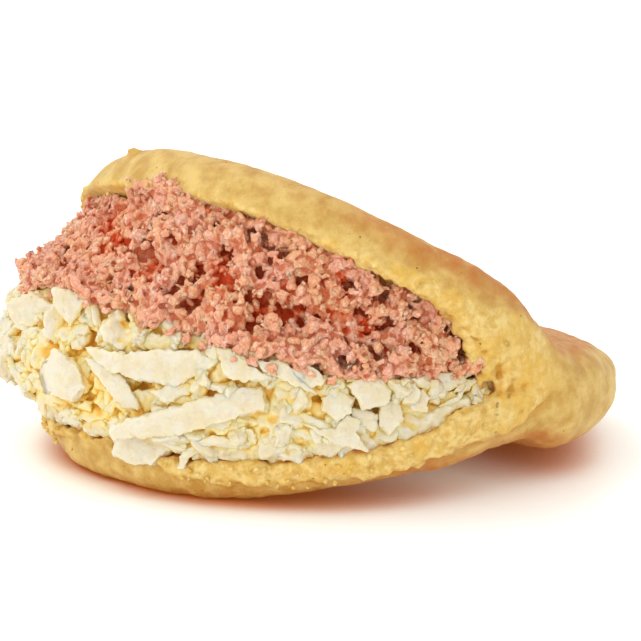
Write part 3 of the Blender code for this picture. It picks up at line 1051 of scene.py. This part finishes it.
# %% Dough crumbs
draw = random.Random(41)
shape = bmesh.new()
crumb_dough = [lump(700 + seed, detail=2, flats=2, unevenness=0.35) for seed in range(6)]
placed = 0
for _ in range(110):
    angle = draw.uniform(88, 272)
    if draw.random() < 0.86:
        level = float(seam("cheese", angle)) - abs(draw.gauss(0, 3.0)) * MM
    else:
        level = float(seam("top", angle)) + abs(draw.gauss(0, 1.5)) * MM
    name, point, normal = first_met(angle, max(level, 5 * MM))
    if name == "corn_cake":
        size = draw.uniform(0.25, 0.7) * MM
        drop_in(shape, draw.choice(crumb_dough), tossed(
            draw, point + normal * (0.4 * MM + 0.5 * size), Vector((size,) * 3)))
        placed += 1
dough_crumbs = new_object("dough_crumbs", shape)
store(dough_crumbs.data, "torn", np.ones(len(dough_crumbs.data.vertices)))
print("dough crumbs:", placed)

# %% [markdown]
# ## How deep each point lies
# In a heap of pale food the gaps glow in deeper, richer colours, because light bounces many times in
# them. So every point learns how open its surroundings are: a few short rays go out from it, and the
# share that meets something is its `shade`. In a filling, a point deep under the CAD solid's skin
# counts as shaded too.

# %% Shade in the gaps
def shade_of(thing, tree, directions, reach, block=1):
    """The share of short rays that meet something. Small repeated lumps get one value for each block."""
    mesh = thing.data
    points, normals = points_of(mesh), normals_of(mesh)
    found = np.zeros(len(points))
    step = max(block // 6, 1)
    for index in range(0, len(points), step):
        out = Vector(normals[index])
        start = Vector(points[index]) + out * 0.08 * MM
        rays = [ray for ray in directions if ray.dot(out) > 0.25]
        met = sum(1 for ray in rays if tree.ray_cast(start, ray, reach)[0])
        found[index:index + step] = met / max(len(rays), 1)
    if block > 1:
        return np.repeat(found.reshape(-1, block).mean(1), block)
    return eased(mesh, found[:, None], 1)[:, 0]


def depth_of(thing, tree):
    """How deep each point lies under the CAD solid's skin, in millimetres; outside it is negative."""
    depths = []
    for point in points_of(thing.data):
        near, normal, _, away = tree.find_nearest(Vector(point))
        depths.append((1 if (Vector(point) - near).dot(normal) < 0 else -1) * away / MM)
    return np.array(depths)


everything = bmesh.new()
ham_pieces, dough_pieces = (ham, bits, grains), (cake, dough_crumbs)
food = [cake, *ham_pieces, core, *loose, shreds, dough_crumbs]
for thing in food:
    everything.from_mesh(thing.data)
all_tree = BVHTree.FromBMesh(everything)
everything.free()
probe = bmesh.new()
bmesh.ops.create_icosphere(probe, subdivisions=1, radius=1)
directions = [vert.co.normalized() for vert in probe.verts]
directions += [(a + b).normalized() for a, b in zip(directions, directions[1:]) if (a + b).length > 0.2]
probe.free()
BLOCKS = {"ham_grains": GRAIN_POINTS, "cheese_crumbs": 42, "dough_crumbs": 42}
for thing in food:
    reach = (1.6 if thing in ham_pieces else 3.5) * MM
    shade = shade_of(thing, all_tree, directions, reach, BLOCKS.get(thing.name, 1))
    if thing not in dough_pieces:
        own = trees["ham_filling" if thing in ham_pieces else "cheese_filling"]
        shade = np.clip(0.65 * shade + 0.2 * np.clip(depth_of(thing, own), -1, 4), 0, 1)
    store(thing.data, "shade", shade)
    print(thing.name, "shade:", np.percentile(shade, (10, 50, 90)).round(2))
print("rays from", sum(len(thing.data.vertices) for thing in food), "points")

# %% [markdown]
# ## Finish of the dough
# Maize dough is pale gold and slightly moist. The skin has faint mottling and tiny dark specks of
# toasted maize. Torn parts are wetter and yellower, browned parts orange-brown. Painted shade makes
# hollows a darker gold and closed gaps orange-brown.

# %% Dough finish
dough_finish, tree, shader = finish("corn dough")
place = place_on(tree)
torn, browned, hollow = (measured(tree, name) for name in ("torn", "browned", "hollow"))
mottle = between(tree, noise_on(tree, place, 4 * MM, 5, 0.6), 0.32, 0.68)
skin = mixed(tree, mottle, linear(194, 150, 66), linear(222, 190, 112))
crumb_mottle = between(tree, noise_on(tree, place, 1.6 * MM, 3, 0.6), 0.35, 0.65)
crumb = mixed(tree, crumb_mottle, linear(214, 174, 86), linear(232, 204, 130))
crumb = tinted(tree, crumb, noise_on(tree, place, 6 * MM, 3), 0.45, 0.68, 0.6, linear(222, 174, 62))
colour = mixed(tree, torn, skin, crumb)
# Painted shade: hollows a darker gold, closed gaps orange-brown.
colour = tinted(tree, colour, hollow, 0.05, 0.6, 1.0, linear(206, 152, 54))
colour = tinted(tree, colour, measured(tree, "shade"), 0.45, 0.95, 0.8, linear(216, 120, 30))
streaks = between(tree, noise_on(tree, place, 2.5 * MM, 4, 0.6), 0.3, 0.7, 0.55, 1.0)
colour = mixed(tree, product(tree, browned, streaks), colour, linear(192, 116, 42))
speck = add(tree, "TexVoronoi", {"Vector": place, "Scale": 1 / (2.5 * MM)})
dots = product(tree, between(tree, speck.outputs["Distance"], 0.10, 0.05),
               between(tree, noise_on(tree, place, 6 * MM, 1), 0.5, 0.6))
colour = mixed(tree, dots, colour, linear(120, 72, 24))
pores = bumped(tree, noise_on(tree, place, 0.6 * MM, 4, 0.65), 0.24 * MM)
pores = bumped(tree, noise_on(tree, place, 2.0 * MM, 3, 0.55), 0.5 * MM, pores)
fill(tree, shader, {
    "Base Color": colour, "Normal": pores, "Specular IOR Level": 0.35,
    "Roughness": between(tree, noise_on(tree, place, 2 * MM, 2), 0.3, 0.7, 0.42, 0.62),
    "Subsurface Weight": 0.35, "Subsurface Radius": (1.6, 0.9, 0.35), "Subsurface Scale": 1.0 * MM})

# %% [markdown]
# ## Finish of the ham
# Cooked minced ham runs from pale pink over tan to orange-brown, and its gaps look deep red-brown. It is
# moist, so small glints sit on the grains. Its colour could be one noise, but each grain of the mincer
# has its own, so the base is tinted by the grain's tone and by flecks. Painted shade then darkens it
# towards red-brown at the rims of small cells, in pits, and where the point lies deep. A trace of light
# of its own stands for the light that wet meat carries into its gaps.

# %% Ham finish
ham_finish, tree, shader = finish("minced ham")
place = place_on(tree)
shade, tone = measured(tree, "shade"), measured(tree, "tone")
pinkness = between(tree, noise_on(tree, place, 7 * MM, 2), 0.38, 0.62)
base = mixed(tree, pinkness, linear(234, 190, 148), linear(230, 178, 156))
base = tinted(tree, base, tone, 0.45, 1.0, 0.55, linear(246, 216, 190))
base = tinted(tree, base, tone, 0.3, 0.0, 0.45, linear(228, 156, 110))
fleck = noise_on(tree, place, 0.9 * MM, 3, 0.6)
base = tinted(tree, base, fleck, 0.52, 0.72, 0.4, linear(248, 218, 192))
bend = add(tree, "TexNoise", {"Vector": place, "Scale": 1 / (1.2 * MM), "Detail": 2.0}).outputs["Color"]
bend = add(tree, "VectorMath", {"Vector": bend, "Scale": 0.9 * MM}, operation="SCALE").outputs["Vector"]
bent = add(tree, "VectorMath", {0: place, 1: bend}, operation="ADD").outputs["Vector"]
cells = add(tree, "TexVoronoi", {"Vector": bent, "Scale": 1 / (0.95 * MM)}, feature="DISTANCE_TO_EDGE")
rim = between(tree, cells.outputs["Distance"], 0.0, 0.22)
# Painted shade: red-brown in the creases at the rims of small cells, in pits and in deep gaps.
base = tinted(tree, base, rim, 0.75, 0.0, 0.4, linear(212, 122, 80))
base = tinted(tree, base, measured(tree, "pit"), 0.3, 1.0, 0.75, linear(200, 92, 48))
base = tinted(tree, base, shade, 0.35, 0.8, 0.5, linear(222, 128, 80))
base = tinted(tree, base, shade, 0.7, 1.0, 0.9, linear(206, 70, 26))
grit = bumped(tree, rim, 0.1 * MM)
grit = bumped(tree, noise_on(tree, place, 0.45 * MM, 4, 0.65), 0.12 * MM, grit)
fill(tree, shader, {
    "Base Color": base, "Normal": grit, "Roughness": 0.42,
    "Specular IOR Level": between(tree, shade, 0.45, 0.85, 0.38, 0.1),
    "Emission Color": linear(222, 84, 38),
    "Emission Strength": between(tree, shade, 0.5, 0.95, 0.0, 0.04),
    "Subsurface Weight": between(tree, shade, 0.45, 0.85, 0.6, 0.15),
    "Subsurface Radius": (1.1, 0.4, 0.25), "Subsurface Scale": 0.9 * MM})

# %% [markdown]
# ## Finish of the cheese
# Fresh white cheese is a milky cream. Light goes into it and comes out yellow, so its gaps are golden.
# Subsurface scattering gives the softness, but alone it leaves the creases grey. So the crease and the
# shade of each point tint it golden, and a trace of light of its own lifts the deepest ones.

# %% Cheese finish
cheese_finish, tree, shader = finish("white cheese")
place = place_on(tree)
shade = measured(tree, "shade")
mottle = between(tree, noise_on(tree, place, 3 * MM, 3), 0.35, 0.65)
milk = mixed(tree, mottle, linear(222, 215, 193), linear(219, 206, 173))
milk = tinted(tree, milk, measured(tree, "pit"), 0.0, 0.7, 0.9, linear(234, 194, 76))
milk = tinted(tree, milk, shade, 0.08, 0.5, 0.75, linear(244, 222, 146))
milk = tinted(tree, milk, shade, 0.42, 0.88, 0.9, linear(242, 192, 72))
grain = bumped(tree, noise_on(tree, place, 0.7 * MM, 3, 0.6), 0.16 * MM)
fill(tree, shader, {
    "Base Color": milk, "Normal": bumped(tree, noise_on(tree, place, 2.2 * MM, 2), 0.4 * MM, grain),
    "Roughness": 0.45, "Specular IOR Level": 0.28,
    "Emission Color": linear(240, 186, 70),
    "Emission Strength": between(tree, shade, 0.35, 0.9, 0.0, 0.03),
    "Subsurface Weight": 0.6, "Subsurface Radius": (1.7, 1.2, 0.3), "Subsurface Scale": 1.0 * MM})

# %% [markdown]
# ## Riding and replacing
# All pieces ride on the one body. Each CAD solid is hidden behind the piece that stands for it.

# %% Riding and replacing
for thing in food:
    if thing in dough_pieces:
        material, slot = dough_finish, "corn_crust"
    elif thing in ham_pieces:
        material, slot = ham_finish, "minced_ham"
    else:
        material, slot = cheese_finish, "white_cheese"
    thing.data.materials.clear()
    thing.data.materials.append(material)
    move_to(thing.data, kept_in_box(points_of(thing.data)))
    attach(thing, "root")
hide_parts("corn_cake")
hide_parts("ham_filling")
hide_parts("cheese_filling")
for thing in food:
    print(thing.name, triangles(thing.data), "triangles")
